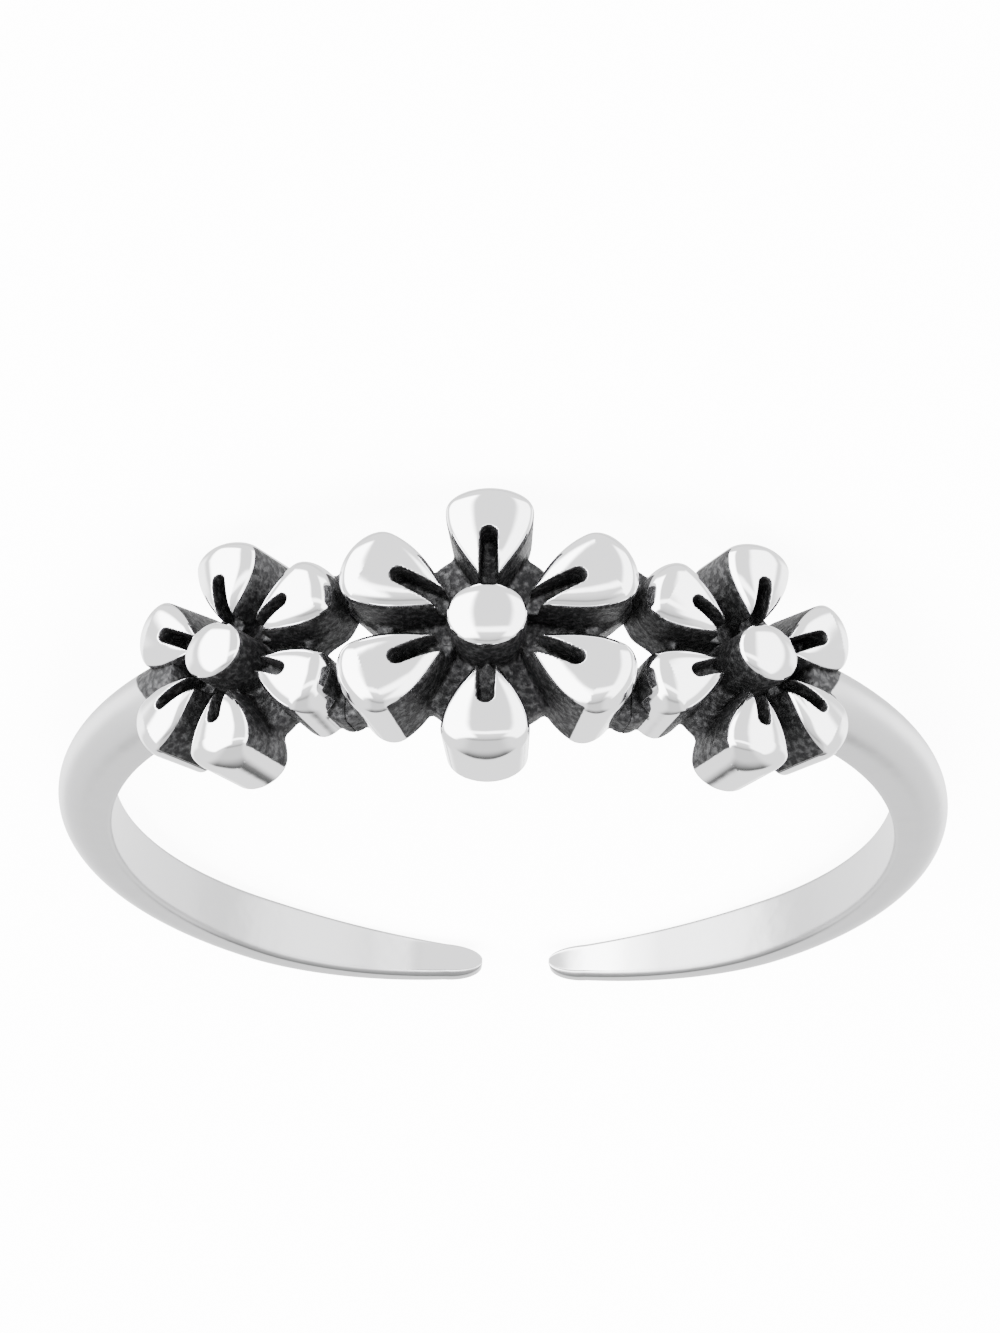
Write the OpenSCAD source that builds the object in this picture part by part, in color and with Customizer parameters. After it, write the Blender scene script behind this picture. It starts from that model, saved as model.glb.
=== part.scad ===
// Open toe ring cast in one piece: a plain half-round band with two free ends at the
// back, and three six-petalled daisies in a row at the front. It lies on its side,
// flowers toward -Y, raised by the petal that hangs lowest.

/* [Opening] */
// diameter of the hole that the toe goes through
opening_d = 15.5; // [14:0.1:18]
// clear gap between the two free ends
end_gap = 1.36; // [0.8:0.02:2.4]

/* [Band] */
// width of the band along the toe
band_w = 1.24; // [1:0.02:1.6]
// width of the band where it comes out from under a side flower
shoulder_w = 1.42; // [1.2:0.02:1.6]
// thickness of the band at the sides of the ring
band_t = 1.08; // [0.9:0.02:1.4]
// what the band gains in thickness toward the flowers and loses toward the ends
band_shift = 0.18; // [0:0.02:0.3]
// width of the band where its rounded tips begin
tip_w = 0.72; // [0.5:0.02:0.9]
// thickness of the band where its rounded tips begin
tip_t = 0.6; // [0.4:0.02:0.8]
// length of each rounded tip
tip_l = 0.75; // [0.3:0.05:1]
// angle round the ring from the centre flower at which the ends start to narrow
taper_start = 140; // [130:1:155]
// bevel along the band's two inner edges
edge_bevel = 0.12; // [0.05:0.01:0.2]

/* [Flowers] */
// reach of the centre flower, from its middle to the tip of a petal
flower_r = 2.81; // [2.5:0.01:3]
// size of a side flower compared with the centre flower
side_scale = 0.84; // [0.75:0.01:0.9]
// angle round the ring from the centre flower to a side flower
side_angle = 34.3; // [32:0.1:38]
// width of the upright petals where they are widest
petal_w = 1.68; // [1.4:0.02:1.9]
// width of the four petals at the sides where they are widest
side_petal_w = 1.56; // [1.4:0.02:1.8]
// height of a petal's crest over the inside of the ring
petal_h = 1.58; // [1.2:0.02:1.7]
// width of the groove in a petal at its rounded end
groove_w = 0.31; // [0.2:0.01:0.45]
// height of the dark ground between the petals over the inside of the ring
ground_h = 0.42; // [0.3:0.02:0.7]
// length round the ring of the diamond gap between two flowers
gap_l = 1.7; // [1.2:0.05:1.9]
// width along the toe of the diamond gap between two flowers
gap_w = 1.32; // [0.8:0.02:1.5]

/* [Beads] */
// length of the centre flower's bead round the ring
bead_l = 1.51; // [1.2:0.01:1.7]
// width of the centre flower's bead along the toe
bead_w = 1.31; // [0.9:0.02:1.5]
// height of a bead's crown over the inside of the ring
bead_h = 1.7; // [1.5:0.02:1.8]
// size of a side flower's bead compared with the centre flower's
side_bead = 0.87; // [0.75:0.01:1]

/* [Hidden] */
sides_round = 20;
opening_r = opening_d / 2;
overlap = 0.15;
petal_root = -0.3;
bead_root = 0.2;
// radius at which a flower's flat plan is wrapped round the ring without stretch
wrap_r = opening_r + 1.25;

// a petal along its own axis, as parts of its reach
start_part = 0.24;
widest_part = 0.80;
groove_part = 0.65;
// the petals round a bead: [turn from upright, reach compared with flower_r, width]
petal_places = [
    [0, 1, petal_w],
    [62.8, 1.095, side_petal_w],
    [117.2, 1.095, side_petal_w],
    [180, 1, petal_w],
    [242.8, 1.095, side_petal_w],
    [297.2, 1.095, side_petal_w]];
// what a petal's height loses toward the bead, and how much rounder its outer tip is
petal_dip = 0.12;
tip_roll = 0.9;
// what a petal's half width gains down its sides
petal_draft = 0.06;
// how far a flower's outer petals rise over the ring's curve, for each square
// millimetre from the flower's middle
centre_lift = 0.035;
side_lift = -0.02;
// how much further round the ring a side flower's bead sits than its petals
bead_turn = 0.65;
groove_start_w = 1.25 * groove_w;
groove_h = 0.8;
ground_r = 0.66 * flower_r;

// rows up the side of a petal: [inset from the outline, part of the height]
petal_rows = [[0, 0.80], [0.04, 0.86], [0.13, 0.92], [0.28, 0.965], [0.46, 0.99]];
// rows up the side of a bead: [inset from the outline, part of the height]
bead_rows = [[0, 0.86], [0.04, 0.91], [0.12, 0.95], [0.28, 0.98]];

// the web that joins two flowers all round the gap between them
web_l = 2;
web_r = 0.48;
web_h = 0.62;
web_angle = 0.55 * side_angle;
web_z = 0.40 * flower_r;

// angle round the ring where the band comes out from under a side flower
band_start = side_angle + 9;
// the angle over which the band narrows from its shoulder
shoulder_span = 40;
dome_part = 0.75;
taper_power = 1.6;
dome_steps = 10;

// where the band ends and where its round tip begins, as angles from the centre flower
end_angle = 180 - asin(end_gap / 2 / opening_r);
cap_span = tip_l / opening_r * 180 / PI;
cap_start = end_angle - cap_span;
// rows of the cap: [way along it, part of the width, part of the thickness]
cap_rows = [[0.35, 0.94, 0.97], [0.65, 0.77, 0.88], [0.88, 0.5, 0.7]];

// resting pose: the lowest petal and the two stretches of band near the free ends
// touch the ground, so the flowers' side is raised
contact_angle = taper_start + 13.5;
contact_half_w = band_half_w(contact_angle);
contact_r = opening_r + band_thick(contact_angle) - contact_half_w;
rest_span = opening_r - contact_r * cos(contact_angle);
rest_reach = norm([rest_span, flower_r]);
rest_tilt = atan2(flower_r, rest_span) - asin(contact_half_w / rest_reach);
rest_lift = flower_r * cos(rest_tilt) - opening_r * sin(rest_tilt);
front_y = (opening_r + petal_h) * cos(rest_tilt) + widest_part * flower_r * sin(rest_tilt);
rear_r = opening_r + cap_rows[0][2] * tip_t;
rear_y = -rear_r * cos(cap_start + cap_rows[0][0] * cap_span) * cos(rest_tilt);
centre_y = (front_y - rear_y) / 2;

silver = "#d4d6d8";
oxide = "#3b3b3d";

toe_ring();

// a point of a flower: u round the ring, v along the toe, h over the ring's inside
function on_ring(u, v, h) =
    let (angle = u / wrap_r * 180 / PI, r = opening_r + h)
    [r * sin(angle), -r * cos(angle), v];

// a petal's outline in its own axis: [distance from the bead's middle, half width],
// round at the outer end and drawn to a blunt point at the bead
function petal_outline(t, inset, draft, reach, width) =
    let (s = t > 180 ? 360 - t : t,
         outer = (1 - widest_part) * reach - inset,
         inner = (widest_part - start_part) * reach - inset)
    [widest_part * reach + (s < 90 ? outer * cos(s) : -inner * (s - 90) / 90),
     (width / 2 + draft - inset) * sin(t)];

// a petal's height at a distance d from the bead's middle, t being the way round it
function petal_top(t, part, d, reach) =
    let (roll = 1 + tip_roll * pow(max(0, cos(t)), 2),
         dip = petal_dip * max(0, 1 - d / (widest_part * reach)))
    petal_h * (1 - (1 - part) * roll) * (1 - dip);

function turned(p, axis) =
    [p[0] * sin(axis) + p[1] * cos(axis), p[0] * cos(axis) - p[1] * sin(axis)];

function petal_foot(axis, reach, width, size) =
    [for (i = [0:sides_round - 1])
        let (t = 360 * i / sides_round,
             q = turned(petal_outline(t, 0, petal_draft, reach, width), axis) * size)
        on_ring(q[0], q[1], petal_root)];

function petal_ring(axis, reach, width, size, lift, inset, part) =
    [for (i = [0:sides_round - 1])
        let (t = 360 * i / sides_round,
             p = petal_outline(t, inset, 0, reach, width),
             q = turned(p, axis) * size)
        on_ring(q[0], q[1], petal_top(t, part, p[0], reach) + lift * pow(q[0], 2))];

function bead_ring(size, inset, h) =
    [for (i = [0:sides_round - 1])
        let (t = 360 * i / sides_round)
        on_ring((bead_l / 2 - inset) * size * sin(t), (bead_w / 2 - inset) * size * cos(t), h)];

// closes a stack of rings into a solid, from the point below to the point on top
module stacked(rings, below, top) {
    n = len(rings[0]);
    count = len(rings);
    points = concat([below], [for (ring = rings) each ring], [top]);
    last = len(points) - 1;
    faces = concat(
        [for (i = [0:n - 1]) [0, 1 + (i + 1) % n, 1 + i]],
        [for (k = [0:count - 2], i = [0:n - 1], half = [0, 1])
            let (a = 1 + k * n + i, b = 1 + k * n + (i + 1) % n)
            half == 0 ? [a, b, a + n] : [b, b + n, a + n]],
        [for (i = [0:n - 1]) let (base = 1 + (count - 1) * n)
            [base + i, base + (i + 1) % n, last]]);
    polyhedron(points, faces);
}

module petal_body(axis, reach, width, size, lift) {
    middle = turned([widest_part * reach, 0], axis) * size;
    rings = concat(
        [petal_foot(axis, reach, width, size)],
        [for (row = petal_rows)
            petal_ring(axis, reach, width, size, lift, row[0], row[1])]);
    stacked(rings,
        on_ring(middle[0], middle[1], petal_root),
        on_ring(middle[0], middle[1], petal_h + lift * pow(middle[0], 2)));
}

// the groove runs out from the bead along the petal's axis to a rounded end
module groove(axis, reach, size) {
    end_r = groove_w / 2;
    far = groove_part * reach;
    half_way = (start_part * reach + far) / 2;
    middle = turned([half_way, 0], axis) * size;
    rotate([0, 0, middle[0] / wrap_r * 180 / PI])
    translate([0, -opening_r - groove_h, middle[1]])
    rotate([90, 0, 0])
    rotate([0, 0, -axis])
    scale([size, size, 1])
    translate([0, -half_way])
    linear_extrude(petal_h) {
        translate([0, far - end_r]) circle(r = end_r, $fn = 32);
        polygon([
            [-groove_start_w / 2, 0], [groove_start_w / 2, 0],
            [end_r, far - end_r], [-end_r, far - end_r]]);
    }
}

module petal(axis, reach, width, size, lift) {
    color(silver)
    difference() {
        petal_body(axis, reach, width, size, lift);
        groove(axis, reach, size);
    }
}

module bead(size) {
    rings = concat(
        [bead_ring(size, 0, bead_root)],
        [for (row = bead_rows) bead_ring(size, row[0], row[1] * bead_h)]);
    color(silver)
    stacked(rings, on_ring(0, 0, bead_root), on_ring(0, 0, bead_h));
}

// the sunken ground that the petals and the bead stand on
module ground(size) {
    color(oxide)
    intersection() {
        rotate([90, 0, 0]) cylinder(h = 2 * opening_d, r = ground_r * size, $fn = 64);
        difference() {
            cylinder(h = opening_d, r = opening_r + ground_h, center = true, $fn = 128);
            cylinder(h = opening_d + 1, r = opening_r - overlap, center = true, $fn = 128);
        }
    }
}

module flower(angle, size, bead_size, bead_shift, lift) {
    rotate([0, 0, angle]) {
        ground(size);
        rotate([0, 0, bead_shift]) bead(bead_size);
        for (row = petal_places) petal(row[0], row[1] * flower_r, row[2], size, lift);
    }
}

module web(side) {
    color(oxide)
    rotate([0, 0, side * web_angle])
    rotate([90, 0, 0])
    translate([0, 0, opening_r - overlap])
    linear_extrude(web_h + overlap)
    difference() {
        union() {
            square([web_l, 2 * web_z], center = true);
            for (level = [-1, 1]) translate([0, level * web_z]) circle(r = web_r, $fn = 32);
        }
        polygon([[-gap_l / 2, 0], [0, gap_w / 2], [gap_l / 2, 0], [0, -gap_w / 2]]);
    }
}

// one section of the band at an angle round the ring: a flat inner face with bevelled
// edges, short straight sides and a domed outer face
function band_section(angle, half_w, thick) =
    let (bevel = min(edge_bevel, 0.35 * half_w),
         inner_z = half_w - bevel,
         root = min(overlap, inner_z / 2),
         dome_h = min(half_w, dome_part * thick),
         outline = concat(
            [[inner_z - root, -root], [root - inner_z, -root], [-half_w, bevel]],
            [for (i = [0:dome_steps])
                let (t = 180 - 180 * i / dome_steps)
                [half_w * cos(t), thick - dome_h * (1 - sin(t))]],
            [[half_w, bevel]]))
    [for (q = outline)
        let (r = opening_r + q[1])
        [r * sin(angle), -r * cos(angle), q[0]]];

// how far along the taper an angle is: 0 before it, 1 where the round tip begins
function taper(angle) =
    pow(max(0, (angle - taper_start) / (cap_start - taper_start)), taper_power);

function band_half_w(angle) =
    let (flare = pow(max(0, 1 - (angle - band_start) / shoulder_span), 2))
    (band_w + (shoulder_w - band_w) * flare + (tip_w - band_w) * taper(angle)) / 2;

function band_thick(angle) =
    let (full = band_t + band_shift * cos(angle))
    full + (tip_t - full) * taper(angle);

module arm() {
    steps = ceil((cap_start - band_start) / 5);
    body = [for (i = [0:steps])
        let (angle = band_start + (cap_start - band_start) * i / steps)
        band_section(angle, band_half_w(angle), band_thick(angle))];
    cap = [for (row = cap_rows)
        band_section(cap_start + row[0] * cap_span, row[1] * tip_w / 2, row[2] * tip_t)];
    start_r = opening_r + band_t / 2;
    tip_r = opening_r + 0.3 * tip_t;
    color(silver)
    stacked(concat(body, cap),
        [start_r * sin(band_start), -start_r * cos(band_start), 0],
        [tip_r * sin(end_angle), -tip_r * cos(end_angle), 0]);
}

module toe_ring() {
    translate([0, centre_y, rest_lift])
    rotate([-rest_tilt, 0, 0])
    difference() {
        union() {
            arm();
            mirror([1, 0, 0]) arm();
            flower(0, 1, 1, 0, centre_lift);
            for (side = [-1, 1]) {
                flower(side * side_angle, side_scale, side_bead,
                    side * bead_turn, side_lift);
                web(side);
            }
        }
        cylinder(h = opening_d, r = opening_r, center = true, $fn = 256);
    }
}
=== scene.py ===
import math

import bpy
import numpy as np
from mathutils import Matrix, Vector


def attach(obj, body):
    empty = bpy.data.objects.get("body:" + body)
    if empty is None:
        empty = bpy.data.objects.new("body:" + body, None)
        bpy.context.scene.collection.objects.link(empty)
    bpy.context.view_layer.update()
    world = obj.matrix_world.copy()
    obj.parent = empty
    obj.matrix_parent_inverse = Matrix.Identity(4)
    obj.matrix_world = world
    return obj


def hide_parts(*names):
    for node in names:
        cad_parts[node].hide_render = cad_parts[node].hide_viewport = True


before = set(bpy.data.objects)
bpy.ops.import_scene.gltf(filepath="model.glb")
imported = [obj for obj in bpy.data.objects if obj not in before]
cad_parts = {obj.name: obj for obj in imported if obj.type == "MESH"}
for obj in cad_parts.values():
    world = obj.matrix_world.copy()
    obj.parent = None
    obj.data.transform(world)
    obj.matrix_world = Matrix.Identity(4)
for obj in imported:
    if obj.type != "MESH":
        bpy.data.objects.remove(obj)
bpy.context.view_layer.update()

MM = 0.001
RAD = math.pi / 180

# sizes of the ring in millimetres, as in the CAD source; BAND_T, TIP_T, FLOWER_R and
# PETAL_H are a hair smaller, so that these rounder forms stay inside its box
OPENING_R = 7.75
END_GAP = 1.36
BAND_W = 1.24
SHOULDER_W = 1.42
SHOULDER_SPAN = 40
BAND_T = 1.075
BAND_SHIFT = 0.18
TIP_W = 0.72
TIP_T = 0.594
TIP_L = 0.75
TAPER_START = 140
TAPER_POWER = 1.6
EDGE_BEVEL = 0.12
DOME_PART = 0.75
FLOWER_R = 2.805
SIDE_SCALE = 0.84
SIDE_ANGLE = 34.3
SIDE_BEAD = 0.87
BEAD_TURN = 0.65
CENTRE_LIFT = 0.035
SIDE_LIFT = -0.02
PETAL_W = 1.68
SIDE_PETAL_W = 1.56
PETAL_H = 1.565
START_PART = 0.24
WIDEST_PART = 0.80
GROOVE_PART = 0.65
# the petals round a bead: turn from upright, reach compared with FLOWER_R, width
PETAL_PLACES = [
    (0, 1, PETAL_W),
    (62.8, 1.095, SIDE_PETAL_W),
    (117.2, 1.095, SIDE_PETAL_W),
    (180, 1, PETAL_W),
    (242.8, 1.095, SIDE_PETAL_W),
    (297.2, 1.095, SIDE_PETAL_W),
]
PETAL_DIP = 0.12
PETAL_DRAFT = 0.06
DRAFT_TOP = 1.24
DRAFT_SPAN = 1.54
EDGE_PART = 0.8
TIP_DROP = 0.18
GROOVE_W = 0.31
GROOVE_H = 0.8
GROUND_H = 0.42
GROUND_R = 0.66 * FLOWER_R
BEAD_L = 1.51
BEAD_W = 1.31
BEAD_H = 1.7
BEAD_EDGE = 0.86
WEB_L = 2.0
WEB_R = 0.48
WEB_H = 0.62
WEB_ANGLE = 0.55 * SIDE_ANGLE
WEB_Z = 0.40 * FLOWER_R
GAP_L = 1.7
GAP_W = 1.32
WRAP_R = OPENING_R + 1.25
BAND_START = SIDE_ANGLE + 9

END_ANGLE = 180 - math.asin(END_GAP / 2 / OPENING_R) / RAD
CAP_SPAN = TIP_L / OPENING_R / RAD
CAP_START = END_ANGLE - CAP_SPAN

# resting pose of the ring on the ground, as in the CAD source
REST_TILT = 8.5977 * RAD
REST_LIFT = 1.61983
CENTRE_Y = 0.70815
REST = (
    Matrix.Translation((0, CENTRE_Y, REST_LIFT)) @ Matrix.Rotation(-REST_TILT, 4, "X")
)
REST_NP = np.array(REST)

# the photo in pixels, and the camera as found by fitting the ring's outline to it: its
# distance, the pixels to the millimetre there, and the pixel at the ring's middle
PHOTO_W, PHOTO_H = 1000, 1333
CAMERA_DISTANCE = 150.0
CAMERA_SCALE = 50.28
MIDDLE_X, MIDDLE_Y = 503.2, 811.5
CAMERA_RISE, CAMERA_SWING, CAMERA_ROLL = 24.75, -2.43, 1.25
SENSOR = 36


def camera():
    """The photo's viewpoint, in the ring's own axes, rolled so that the free ends come low."""
    distance, scale = CAMERA_DISTANCE, CAMERA_SCALE
    phi, beta, rho = CAMERA_RISE * RAD, CAMERA_SWING * RAD, CAMERA_ROLL * RAD
    shift_x = (MIDDLE_X - PHOTO_W / 2) / scale
    shift_y = -(MIDDLE_Y - PHOTO_H / 2) / scale
    away = Vector(
        (
            math.cos(phi) * math.sin(beta),
            -math.cos(phi) * math.cos(beta),
            math.sin(phi),
        )
    )
    right = Vector((math.cos(beta), math.sin(beta), 0))
    up = away.cross(right)
    right, up = -right, -up
    cam_x = math.cos(rho) * right + math.sin(rho) * up
    cam_y = -math.sin(rho) * right + math.cos(rho) * up
    place = away * distance - shift_x * cam_x - shift_y * cam_y
    turn = Matrix((cam_x, cam_y, away)).transposed().to_4x4()
    pose = REST @ Matrix.Translation(place) @ turn
    data = bpy.data.cameras.new("camera")
    data.sensor_width = SENSOR
    data.lens = scale * distance / PHOTO_H * SENSOR
    data.clip_start, data.clip_end = 0.001, 10
    cam = bpy.data.objects.new("camera", data)
    cam.matrix_world = (
        Matrix.Translation(pose.to_translation() * MM) @ pose.to_3x3().to_4x4()
    )
    bpy.context.scene.collection.objects.link(cam)
    bpy.context.scene.camera = cam


def smooth_max(a, b, k):
    """The larger value, with the corner between the two rounded over a width of k."""
    gap = np.maximum(k - np.abs(a - b), 0) / k
    return np.maximum(a, b) + gap * gap * k / 4


def smooth_min(a, b, k):
    return -smooth_max(-a, -b, k)


def fade(value, width):
    """A straight rise from 0 to 1 as the value goes from 0 to the width."""
    return np.clip(value / width, 0, 1)


def ellipse(x, y, rx, ry):
    """Distance to an ellipse, true near its outline, and the part of the way out to it."""
    k0 = np.sqrt((x / rx) ** 2 + (y / ry) ** 2)
    k1 = np.sqrt((x / rx**2) ** 2 + (y / ry**2) ** 2)
    return k0 * (k0 - 1) / np.maximum(k1, 1e-6), k0


def turned(x, y, turn):
    """Places along and across a petal that is turned from upright."""
    a = turn * RAD
    return x * math.sin(a) + y * math.cos(a), x * math.cos(a) - y * math.sin(a)


def groove(along, across, reach):
    """Distance outside a petal's groove, seen from above."""
    end_r = GROOVE_W / 2
    last = GROOVE_PART * reach - end_r
    half = end_r * (1.25 - 0.25 * np.clip(along / last, 0, 1))
    return np.hypot(across, np.maximum(along - last, 0)) - half


def petal(along, across, h, reach, wide):
    """Field of one petal: a teardrop with a domed top and a groove."""
    widest, start = WIDEST_PART * reach, START_PART * reach
    tip, inner = reach - widest, widest - start
    half = wide / 2 + PETAL_DRAFT * fade(DRAFT_TOP - h, DRAFT_SPAN)
    back = np.clip((widest - along) / inner, 0, 1)
    width = half * np.cos(back * math.pi / 2)
    slope = half * math.pi / 2 / inner * np.sin(back * math.pi / 2)
    side = (np.abs(across) - width) / np.sqrt(1 + slope**2)
    side = np.maximum(side, start - along)
    cap, q_cap = ellipse(along - widest, across, tip, half)
    outer = along > widest
    plan = np.where(outer, cap, side)
    q = np.where(outer, q_cap, np.abs(across) / np.maximum(width, 1e-3))
    crown = np.maximum(1 - np.minimum(q, 1) ** 2.4, 0) ** 0.6
    full = 1 - (1 - width / half) ** 2.6
    # the edge stands lower round the outer tip
    edge = EDGE_PART - TIP_DROP * fade(along - widest, tip) ** 2
    dip = 1 - PETAL_DIP * np.clip(1 - along / widest, 0, 1)
    top = PETAL_H * dip * (edge + (1 - edge) * full * crown)
    body = smooth_max(plan, (h - top) * 0.8, 0.05)
    slot = smooth_max(groove(along, across, reach), GROOVE_H - h, 0.1)
    return smooth_max(body, -slot, 0.04)


# a flower: its size, its bead's size and shift along u, and how far its outer petals rise
# over the ring's curve for each square millimetre from its middle
CENTRE_FLOWER = (1.0, 1.0, 0.0, CENTRE_LIFT)
SIDE_FLOWER = (SIDE_SCALE, SIDE_BEAD, BEAD_TURN * RAD * WRAP_R, SIDE_LIFT)


def flower(u, v, h, kind):
    """Field of one flower, negative inside.

    u goes round the ring, v along the toe and h out from the bore.
    """
    size, bead_size, shift, lift = kind
    x, y = u / size, v / size
    plan, q = ellipse((u - shift) / bead_size, v / bead_size, BEAD_L / 2, BEAD_W / 2)
    crown = np.maximum(1 - np.minimum(q, 1) ** 2.2, 0) ** 0.6
    dome = BEAD_EDGE + (1 - BEAD_EDGE) * crown
    out = smooth_max(plan * bead_size, h - BEAD_H * dome, 0.05)
    level = h - lift * u**2
    for turn, reach, wide in PETAL_PLACES:
        along, across = turned(x, y, turn)
        one = petal(along, across, level, reach * FLOWER_R, wide) * size
        out = smooth_min(out, one, 0.05)
    ground = smooth_max(np.hypot(u, v) - GROUND_R * size, h - GROUND_H, 0.12)
    return smooth_min(out, ground, 0.14)


def web(u, v, h, side):
    """The plate between two flowers, with its diamond gap."""
    x, y = np.abs(u - side * WEB_ANGLE * RAD * WRAP_R), np.abs(v)
    plate = np.maximum(x - WEB_L / 2, y - WEB_Z)
    plate = np.minimum(plate, np.hypot(x, y - WEB_Z) - WEB_R)
    a, b = GAP_L / 2, GAP_W / 2
    gap = (x / a + y / b - 1) * a * b / math.hypot(a, b)
    plate = smooth_max(plate, -gap, 0.06)
    return smooth_max(plate, h - WEB_H, 0.15)


def net(field, low, high, step):
    """Closed mesh of field = 0 by surface nets, its points moved onto the surface."""
    axes = [np.arange(a, b + step, step) for a, b in zip(low, high)]
    grid = np.meshgrid(*axes, indexing="ij")
    f = field(*grid)
    inside = f < 0
    n = f.shape
    count = np.zeros(tuple(k - 1 for k in n), np.int8)
    corners = [(i, j, k) for i in (0, 1) for j in (0, 1) for k in (0, 1)]
    for i, j, k in corners:
        count += inside[
            i : n[0] - 1 + i, j : n[1] - 1 + j, k : n[2] - 1 + k
        ]
    cells = np.argwhere((count > 0) & (count < 8))
    number = -np.ones(count.shape, np.int32)
    number[tuple(cells.T)] = np.arange(len(cells))
    total = np.zeros((len(cells), 3))
    hits = np.zeros(len(cells))
    for a in corners:
        for axis in range(3):
            if a[axis]:
                continue
            b = list(a)
            b[axis] = 1
            fa = f[tuple((cells + a).T)]
            fb = f[tuple((cells + b).T)]
            cross = (fa < 0) != (fb < 0)
            t = np.where(cross, fa / np.where(cross, fa - fb, 1), 0)
            point = np.array(a, float) + t[:, None] * np.eye(3)[axis]
            total += point * cross[:, None]
            hits += cross
    points = np.array(low) + (cells + total / hits[:, None]) * step
    quads = []
    for axis in range(3):
        s = [slice(1, -1)] * 3
        s[axis] = slice(0, -1)
        s2 = list(s)
        s2[axis] = slice(1, None)
        a, b = inside[tuple(s)], inside[tuple(s2)]
        o1, o2 = [(1, 2), (2, 0), (0, 1)][axis]
        for flag, flip in ((a & ~b, False), (~a & b, True)):
            at = np.argwhere(flag) + 1
            at[:, axis] -= 1
            c = []
            for d1, d2 in ((0, 0), (1, 0), (1, 1), (0, 1)):
                p = at.copy()
                p[:, o1] -= d1
                p[:, o2] -= d2
                c.append(number[tuple(p.T)])
            if flip:
                c = c[::-1]
            quads.append(np.stack(c, 1))
    quads = np.concatenate(quads)
    for _ in range(3):
        value, slope = with_slope(field, points)
        move = value / np.maximum((slope**2).sum(1), 0.05)
        points = points - np.clip(slope * move[:, None], -step / 2, step / 2)
    return points, quads, with_slope(field, points)[1]


def with_slope(field, p):
    """The field's value and its slope along each axis at the points."""
    e = 1e-4
    slope = np.empty_like(p)
    for axis in range(3):
        d = np.eye(3)[axis] * e
        slope[:, axis] = (field(*(p + d).T) - field(*(p - d).T)) / (2 * e)
    return field(*p.T), slope


def wrapped(points, slope):
    """Unrolled points and their slopes to ring axes: places and unit normals."""
    angle = points[:, 0] / WRAP_R
    r = OPENING_R + points[:, 2]
    s, c = np.sin(angle), np.cos(angle)
    place = np.stack([r * s, -r * c, points[:, 1]], 1)
    round_ = slope[:, 0] * WRAP_R / r
    normal = np.stack(
        [round_ * c + slope[:, 2] * s, round_ * s - slope[:, 2] * c, slope[:, 1]], 1
    )
    return place, normal / np.linalg.norm(normal, axis=1)[:, None]


def piece(name, place, faces, oxide, finish_and_painted_light, normal=None, mirror=False):
    """A mesh in the resting pose, with its oxide mask and the tone of its silver, whose colour
    also carries painted shade and light.
    """
    if mirror:
        flip = np.array([-1, 1, 1])
        place, faces = place * flip, [f[::-1] for f in faces]
        normal = None if normal is None else normal * flip
    world = (place @ REST_NP[:3, :3].T + REST_NP[:3, 3]) * MM
    mesh = bpy.data.meshes.new(name)
    mesh.from_pydata(world.tolist(), [], faces)
    mesh.shade_smooth()
    if normal is not None:
        mesh.normals_split_custom_set_from_vertices(
            (normal @ REST_NP[:3, :3].T).tolist()
        )
    for label, values in (("oxide", oxide), ("finish_and_painted_light", finish_and_painted_light)):
        layer = mesh.attributes.new(label, "FLOAT", "POINT")
        layer.data.foreach_set("value", values.astype(np.float32))
    mesh.materials.append(SILVER)
    obj = bpy.data.objects.new(name, mesh)
    bpy.context.scene.collection.objects.link(obj)
    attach(obj, "root")
    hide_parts("toe_ring")


def node_math(tree, kind, *values):
    """One math node fed by sockets or plain numbers; returns its output."""
    node = tree.nodes.new("ShaderNodeMath")
    node.operation = kind
    for i, value in enumerate(values):
        if isinstance(value, (int, float)):
            node.inputs[i].default_value = value
        else:
            tree.links.new(value, node.inputs[i])
    return node.outputs[0]


def ramp(tree, value, low, high, first=0.0, last=1.0):
    """A smooth step from first to last as value goes from low to high."""
    node = tree.nodes.new("ShaderNodeMapRange")
    node.interpolation_type = "SMOOTHSTEP"
    for name, number in (
        ("From Min", low),
        ("From Max", high),
        ("To Min", first),
        ("To Max", last),
    ):
        node.inputs[name].default_value = number
    tree.links.new(value, node.inputs["Value"])
    return node.outputs[0]


def attribute(tree, name):
    """The value that a mesh carries under this name."""
    node = tree.nodes.new("ShaderNodeAttribute")
    node.attribute_name = name
    return node.outputs["Fac"]


# noise scales and bump depths in metres of the oxide's grain and of the silver's waves
GRAIN_SCALE, WAVE_SCALE = 9000, 1700
GRAIN_DEPTH, WAVE_DEPTH = 0.00003, 0.00002
DARK_OXIDE, PALE_OXIDE = (0.02, 0.02, 0.021, 1), (0.08, 0.08, 0.082, 1)
OXIDE_ROUGH, SATIN_ROUGH, POLISH_ROUGH = 0.55, 0.34, 0.07


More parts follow.
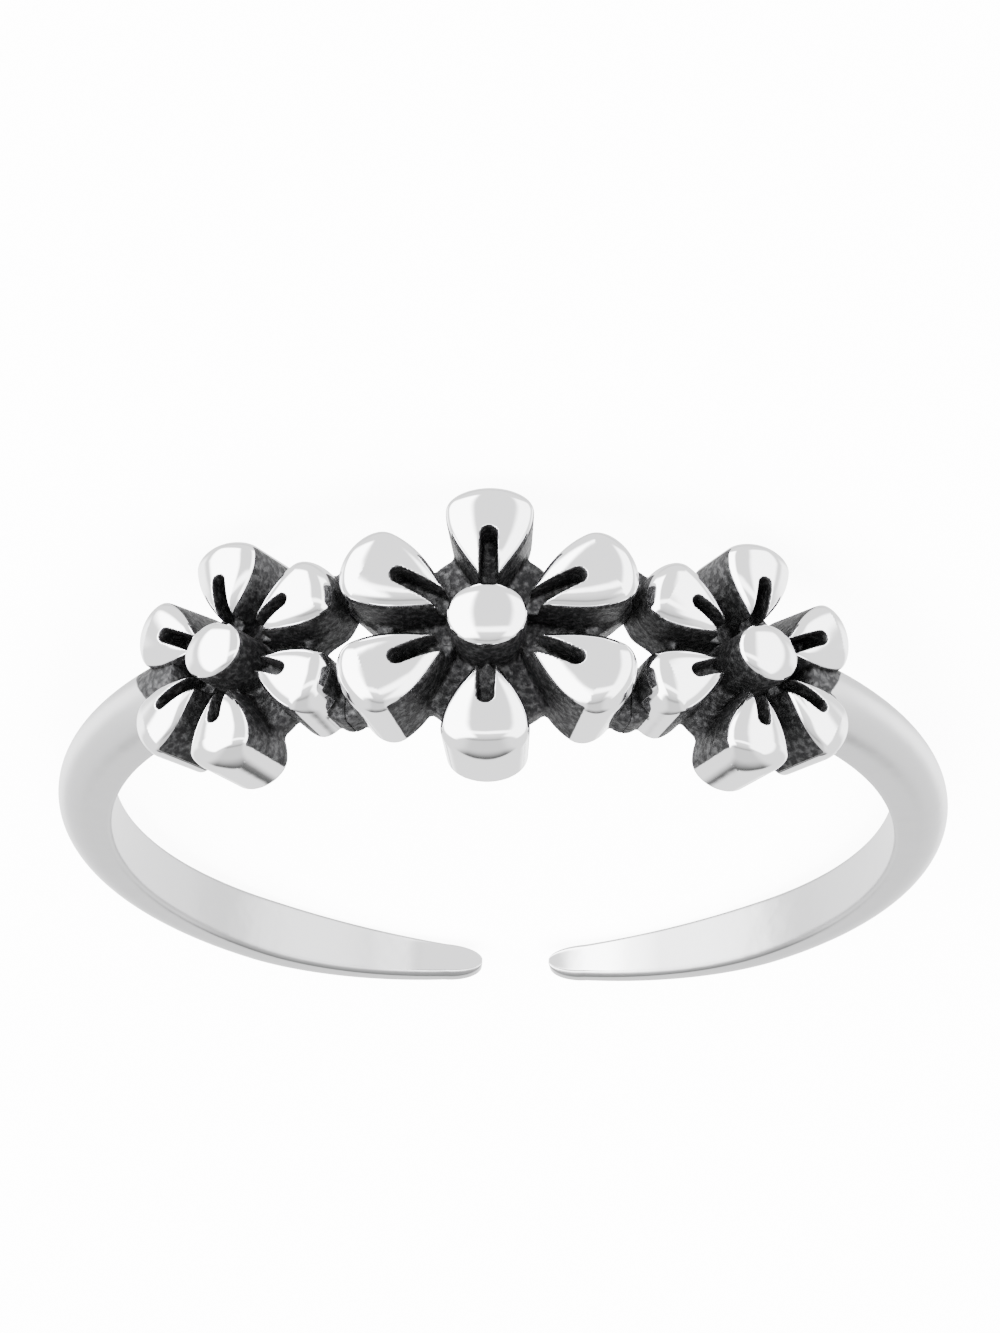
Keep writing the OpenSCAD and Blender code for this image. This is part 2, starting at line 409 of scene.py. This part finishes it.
def silver_material():
    """Bright silver, satin where its tone is low, with painted shade, highlight and reflection
    carried in that tone's colour, under a grainy black oxide.
    """
    m = bpy.data.materials.new("oxidised_silver")
    m.use_nodes = True
    tree = m.node_tree
    nodes, links = tree.nodes, tree.links
    shader = nodes["Principled BSDF"]
    mask, finish_and_painted_light = attribute(tree, "oxide"), attribute(tree, "finish_and_painted_light")
    coords = nodes.new("ShaderNodeTexCoord")

    def noise(scale, detail):
        node = nodes.new("ShaderNodeTexNoise")
        node.inputs["Scale"].default_value = scale
        node.inputs["Detail"].default_value = detail
        links.new(coords.outputs["Object"], node.inputs["Vector"])
        return node.outputs["Fac"]

    grain, waves = noise(GRAIN_SCALE, 4), noise(WAVE_SCALE, 2)
    edge = node_math(tree, "MULTIPLY_ADD", grain, 0.3, -0.15)
    cover = ramp(tree, node_math(tree, "ADD", mask, edge), 0.4, 0.6)
    dark = nodes.new("ShaderNodeValToRGB")
    dark.color_ramp.elements[0].position = 0.45
    dark.color_ramp.elements[0].color = DARK_OXIDE
    dark.color_ramp.elements[1].position = 0.68
    dark.color_ramp.elements[1].color = PALE_OXIDE
    links.new(grain, dark.inputs["Fac"])
    # the base colour follows the silver's tone: its own colour on the flowers, painted shade on
    # the band and in the bores, a painted highlight inside the tips and a painted dark reflection
    # along the inner edge
    bright = nodes.new("ShaderNodeCombineColor")
    cool = node_math(tree, "MULTIPLY", finish_and_painted_light, 1.012)
    for socket, value in zip(bright.inputs, (finish_and_painted_light, finish_and_painted_light, cool)):
        links.new(value, socket)
    colour = nodes.new("ShaderNodeMix")
    colour.data_type = "RGBA"
    links.new(cover, colour.inputs[0])
    links.new(bright.outputs[0], colour.inputs[6])
    links.new(dark.outputs["Color"], colour.inputs[7])
    links.new(colour.outputs[2], shader.inputs["Base Color"])
    links.new(ramp(tree, cover, 0, 1, 1, 0.9), shader.inputs["Metallic"])
    satin = ramp(tree, finish_and_painted_light, 0.68, 0.9, SATIN_ROUGH, POLISH_ROUGH)
    rough = nodes.new("ShaderNodeMix")
    links.new(cover, rough.inputs[0])
    links.new(satin, rough.inputs[2])
    rough.inputs[3].default_value = OXIDE_ROUGH
    links.new(rough.outputs[0], shader.inputs["Roughness"])
    # a grainy oxide, and soft waves in the hand-finished silver
    ripple = nodes.new("ShaderNodeBump")
    ripple.inputs["Distance"].default_value = WAVE_DEPTH
    links.new(ramp(tree, finish_and_painted_light, 0.5, 0.93, 0.8, 0.2), ripple.inputs["Strength"])
    links.new(waves, ripple.inputs["Height"])
    bump = nodes.new("ShaderNodeBump")
    bump.inputs["Distance"].default_value = GRAIN_DEPTH
    links.new(cover, bump.inputs["Strength"])
    links.new(grain, bump.inputs["Height"])
    links.new(ripple.outputs[0], bump.inputs["Normal"])
    links.new(bump.outputs[0], shader.inputs["Normal"])
    return m


SILVER = silver_material()

# reflectance of the silver: flowers; the band's outside, satin and darkened as painted shade; its
# inside, satin and darkened as painted shade;
# the inside at the tips, lightened as a painted highlight; and the line along the band's inner
# edge, a painted dark reflection
POLISHED, OUTSIDE_SATIN_AND_SHADE, INSIDE_SATIN_AND_SHADE, TIP_HIGHLIGHT, EDGE_REFLECTION = 0.93, 0.66, 0.44, 0.9, 0.3

# the oxide on a flower: the height that it reaches, its radius on the centre flower and on
# the side flowers, which it fills a little farther out, and where it begins in the grooves
OXIDE_H = 0.9
OXIDE_R, SIDE_OXIDE_R = 2.42, 2.52
GROOVE_OXIDE_R = 0.72
# the bore's face, satin and clean of oxide, ends at this height
BORE_H = 0.05
# stands for a distance where there is no groove
FAR = 9.0


def slots(x, y):
    """Distance outside the nearest groove, seen from above."""
    out = np.full(len(x), FAR)
    for turn, reach, _ in PETAL_PLACES:
        along, across = turned(x, y, turn)
        reach = reach * FLOWER_R
        gap = groove(along, across, reach)
        out = np.minimum(out, np.where(along > START_PART * reach, gap, FAR))
    return out


def flower_oxide(p, slope, kind, u0):
    """1 in the blackened recesses, 0 on the polished tops and outer walls."""
    u, v, h = p.T
    size, lift = kind[0], kind[3]
    level = h - lift * (u - u0) ** 2
    far = np.hypot((u - u0) / 1.1, v) / size
    up = slope[:, 2] / np.linalg.norm(slope, axis=1)
    low = np.maximum(fade(OXIDE_H - level, 0.1), fade(0.5 - up, 0.2))
    cut = fade(0.035 - slots((u - u0) / size, v / size), 0.02)
    cut *= fade(far - GROOVE_OXIDE_R, 0.05)
    outer = fade(far - (SIDE_OXIDE_R if u0 else OXIDE_R), 0.1)
    recess = np.maximum(low, cut) * (1 - outer)
    # the low parts round a web, and the whole of its plate and lobes
    off = np.abs(np.abs(u) - WEB_ANGLE * RAD * WRAP_R)
    between = fade(np.minimum(1.7 - off, 1.3 - np.abs(v)), 0.1) * low
    bridge = np.minimum(0.4 - off, 0.8 - h)
    lobe = np.minimum(WEB_R + 0.08 - np.hypot(off, np.abs(v) - WEB_Z), WEB_H + 0.1 - h)
    between = np.maximum(between, fade(np.maximum(bridge, lobe), 0.1))
    return np.maximum(recess, between) * (1 - fade(BORE_H - h, 0.04))


def make_flower(name, kind, angle, low, high, step, mirror=None):
    """A flower with its half of each web beside it, and its mirror image if that has a name."""
    u0 = angle * RAD * WRAP_R
    cut = WEB_ANGLE * RAD * WRAP_R

    def field(u, v, h):
        out = flower(u - u0, v, h, kind)
        for side in (-1, 1):
            if angle == 0 or side == 1:
                out = smooth_min(out, web(u, v, h, side), 0.1)
        out = smooth_max(out, -h, 0.04)
        if angle == 0:
            return np.maximum(out, np.abs(u) - cut)
        return np.maximum(out, cut - u)

    points, quads, slope = net(field, low, high, step)
    place, normal = wrapped(points, slope)
    oxide = flower_oxide(points, slope, kind, u0)
    # the bore of the flowers is satin and darkened as painted shade, as inside the band
    finish_and_painted_light = POLISHED + (INSIDE_SATIN_AND_SHADE - POLISHED) * fade(BORE_H - points[:, 2], 0.04)
    piece(name, place, quads.tolist(), oxide, finish_and_painted_light, normal)
    if mirror:
        piece(mirror, place, quads.tolist(), oxide, finish_and_painted_light, normal, mirror=True)


def taper(angle):
    """How far the band has thinned toward its tip: 0 to 1."""
    part = max(0, (angle - TAPER_START) / (CAP_START - TAPER_START))
    return part**TAPER_POWER


def band_size(angle):
    """Half the band's width and its thickness."""
    part = taper(angle)
    full = BAND_T + BAND_SHIFT * math.cos(angle * RAD)
    flare = max(0, 1 - (angle - BAND_START) / SHOULDER_SPAN) ** 2
    width = BAND_W + (SHOULDER_W - BAND_W) * flare + (TIP_W - BAND_W) * part
    return width / 2, full + (TIP_T - full) * part


# steps round the band's outline: its flat inner face, bevels, upright walls and dome
FLAT_STEPS, BEVEL_STEPS, WALL_STEPS, DOME_STEPS = 12, 6, 4, 36


def section(angle, half_w, thick):
    """One closed outline across the band at this angle."""
    bevel = min(EDGE_BEVEL, 0.35 * half_w)
    dome = min(half_w, DOME_PART * thick)
    z, h = [], []
    for i in range(FLAT_STEPS + 1):
        z.append((half_w - bevel) * (1 - 2 * i / FLAT_STEPS))
        h.append(0)
    for i in range(1, BEVEL_STEPS):
        t = i / BEVEL_STEPS * math.pi / 2
        z.append(-(half_w - bevel) - bevel * math.sin(t))
        h.append(bevel * (1 - math.cos(t)))
    side = thick - dome
    for i in range(WALL_STEPS):
        z.append(-half_w)
        h.append(bevel + (side - bevel) * i / WALL_STEPS)
    for i in range(DOME_STEPS + 1):
        t = math.pi * (1 - i / DOME_STEPS)
        z.append(half_w * math.cos(t))
        h.append(side + dome * math.sin(t))
    for i in range(1, WALL_STEPS + 1):
        z.append(half_w)
        h.append(side + (bevel - side) * i / WALL_STEPS)
    for i in range(1, BEVEL_STEPS):
        t = math.pi / 2 * (1 - i / BEVEL_STEPS)
        z.append(half_w - bevel + bevel * math.sin(t))
        h.append(bevel * (1 - math.cos(t)))
    z, h = np.array(z), np.array(h)
    r = OPENING_R + h
    return np.stack([r * math.sin(angle * RAD), -r * math.cos(angle * RAD), z], 1)


BAND_STEPS, CAP_STEPS = 400, 14


def make_band():
    """The arm on the +X side, lofted from its flower to its rounded tip."""
    rings = []
    for i in range(BAND_STEPS + 1):
        angle = BAND_START + (CAP_START - BAND_START) * i / BAND_STEPS
        rings.append(section(angle, *band_size(angle)))
    for i in range(1, CAP_STEPS):
        t = i / CAP_STEPS * math.pi / 2
        way, part = math.sin(t), math.cos(t)
        rings.append(
            section(
                CAP_START + way * CAP_SPAN,
                part * TIP_W / 2,
                TIP_T * (0.55 + 0.45 * part),
            )
        )
    count = len(rings[0])
    place = np.concatenate(rings)
    ends = [rings[0].mean(0), rings[-1].mean(0)]
    place = np.concatenate([place, ends])
    a = np.arange(len(rings) - 1)[:, None] * count + np.arange(count)
    b = np.arange(len(rings) - 1)[:, None] * count + (np.arange(count) + 1) % count
    faces = np.stack([a, b, b + count, a + count], -1).reshape(-1, 4).tolist()
    first, last = len(place) - 2, len(place) - 1
    base = (len(rings) - 1) * count
    for i in range(count):
        j = (i + 1) % count
        faces.append([first, j, i])
        faces.append([base + i, base + j, last])
    return place, faces


# angles on the arm at which the painted highlight inside the tip and the painted dark reflection
# along the inner edge begin
TIP_HIGHLIGHT_START, EDGE_REFLECTION_START = 157, 122


def band_masks(place, patch):
    """Oxide left where the band meets a side flower, and the tone of the band's silver, with
    painted shade inside and outside, a painted highlight inside the tip and a painted dark
    reflection along the inner edge.
    """
    x, y, z = place.T
    r = np.hypot(x, y)
    angle = np.degrees(np.arctan2(x, -y))
    u, h = (angle - SIDE_ANGLE) * RAD * WRAP_R, r - OPENING_R
    near = flower(u, z, h, SIDE_FLOWER)
    line = fade(0.13 - near, 0.08)
    blot = fade(patch - 4.5 * z - angle, 1.5)
    oxide = np.maximum(line, blot) * fade(h - 0.25, 0.2)
    # the inside is darkened as painted shade, and lightened toward the tip as a painted highlight
    inside = INSIDE_SATIN_AND_SHADE + (TIP_HIGHLIGHT - INSIDE_SATIN_AND_SHADE) * fade(angle - TIP_HIGHLIGHT_START, 9)
    finish_and_painted_light = OUTSIDE_SATIN_AND_SHADE + (inside - OUTSIDE_SATIN_AND_SHADE) * fade(BORE_H - h, 0.04)
    # a painted dark reflection along the near inner edge, toward the tip
    edge = fade(EDGE_BEVEL - h, 0.03) * fade(h - 0.004, 0.01)
    edge *= (z > 0) * fade(angle - EDGE_REFLECTION_START, 12)
    return oxide, finish_and_painted_light + (EDGE_REFLECTION - finish_and_painted_light) * edge


FLOOR_HALF, FLOOR_GLOW = 2.0, 9


def floor():
    """A plain, almost white floor, left out of the reflections."""
    mesh = bpy.data.meshes.new("floor")
    size = FLOOR_HALF
    mesh.from_pydata(
        [(-size, -size, 0), (size, -size, 0), (size, size, 0), (-size, size, 0)],
        [],
        [(0, 1, 2, 3)],
    )
    obj = bpy.data.objects.new("floor", mesh)
    bpy.context.scene.collection.objects.link(obj)
    m = bpy.data.materials.new("floor")
    m.use_nodes = True
    shader = m.node_tree.nodes["Principled BSDF"]
    shader.inputs["Base Color"].default_value = (0.9, 0.9, 0.9, 1)
    shader.inputs["Roughness"].default_value = 0.9
    shader.inputs["Specular IOR Level"].default_value = 0
    shader.inputs["Emission Color"].default_value = (1, 1, 1, 1)
    shader.inputs["Emission Strength"].default_value = FLOOR_GLOW
    mesh.materials.append(m)
    obj.visible_glossy = False


# strength of the world where no panel is, and of the lamp above
AMBIENT, CEILING = 1.9, 12


def lights():
    """A soft studio: panels left and right, a paler strip in front, a dark hood overhead."""
    world = bpy.data.worlds.new("studio")
    bpy.context.scene.world = world
    world.use_nodes = True
    tree = world.node_tree
    coords = tree.nodes.new("ShaderNodeTexCoord")
    split = tree.nodes.new("ShaderNodeSeparateXYZ")
    tree.links.new(coords.outputs["Generated"], split.inputs[0])
    x, y, z = split.outputs
    front = node_math(tree, "MULTIPLY", y, -1.0)
    turn = node_math(tree, "ARCTAN2", x, front)
    other = node_math(tree, "MULTIPLY", turn, -1.0)
    rise = node_math(tree, "ARCSINE", z)

    def panel(angle, left, right, low, high, soft, power):
        """A soft-edged panel, in degrees: its sides fade over left and right, its ends by soft."""
        a = ramp(tree, angle, left[0] * RAD, left[1] * RAD)
        b = ramp(tree, angle, right[0] * RAD, right[1] * RAD, 1, 0)
        c = ramp(tree, rise, (low - soft) * RAD, (low + soft) * RAD)
        d = ramp(tree, rise, (high - soft) * RAD, (high + soft) * RAD, 1, 0)
        ab = node_math(tree, "MULTIPLY", a, b)
        cd = node_math(tree, "MULTIPLY", c, d)
        return node_math(
            tree, "MULTIPLY", node_math(tree, "MULTIPLY", ab, cd), power
        )

    behind = node_math(tree, "ABSOLUTE", turn)
    total = panel(turn, (14, 24), (76, 86), -52, 44, 5, 8.5)
    total = node_math(tree, "ADD", total, AMBIENT)
    for extra in (
        panel(other, (26, 40), (76, 86), -52, 40, 5, 4.2),
        panel(turn, (-40, -26), (14, 24), 12, 24, 4, 4.5),
        panel(behind, (90, 104), (190, 200), -38, -12, 8, 2.5),
    ):
        total = node_math(tree, "ADD", total, extra)
    # a hood from the front over the top to the back, darkest low at the back
    over = node_math(tree, "ARCTAN2", z, front)

    def shade(low, high, soft_low, soft_high, depth):
        """One stretch of the hood, in degrees over the top, and how much light it takes."""
        a = ramp(tree, over, (low - soft_low) * RAD, (low + soft_low) * RAD)
        b = ramp(tree, over, (high - soft_high) * RAD, (high + soft_high) * RAD, 1, 0)
        return node_math(tree, "MULTIPLY", node_math(tree, "MULTIPLY", a, b), depth)

    hood = shade(42, 152, 14, 3, 0.35)
    for extra in (
        shade(56, 66, 5, 5, 0.3),
        shade(132, 150, 20, 3, 0.6),
        shade(-104, -94, 4, 4, 0.3),
    ):
        hood = node_math(tree, "ADD", hood, extra)
    # the hood is a strip that doesn't reach down to the sides
    strip = ramp(tree, node_math(tree, "ABSOLUTE", x), 0.3, 0.6, 1, 0)
    hood = node_math(tree, "MULTIPLY", hood, strip)
    keep = node_math(tree, "MULTIPLY_ADD", hood, -1.0, 1.0)
    total = node_math(tree, "MULTIPLY", total, keep)
    back = tree.nodes["Background"]
    back.inputs["Color"].default_value = (1, 1, 1, 1)
    tree.links.new(total, back.inputs["Strength"])
    data = bpy.data.lights.new("ceiling", "SUN")
    data.energy = CEILING
    data.angle = 80 * RAD
    lamp = bpy.data.objects.new("ceiling", data)
    lamp.visible_glossy = False
    bpy.context.scene.collection.objects.link(lamp)


camera()
floor()
lights()

# each flower's box in unrolled millimetres, and its grid's step
make_flower(
    "flower_centre", CENTRE_FLOWER, 0, (-3.1, -2.95, -0.1), (3.1, 2.95, 1.85), 0.037
)
make_flower(
    "flower_left",
    SIDE_FLOWER,
    SIDE_ANGLE,
    (2.9, -2.5, -0.1),
    (8.3, 2.5, 1.85),
    0.032,
    mirror="flower_right",
)

# angle that the oxide's blot reaches at the middle of each arm
LEFT_BLOT, RIGHT_BLOT = 50.5, 48
place, faces = make_band()
piece("band_left", place, faces, *band_masks(place, LEFT_BLOT))
piece("band_right", place, faces, *band_masks(place, RIGHT_BLOT), mirror=True)
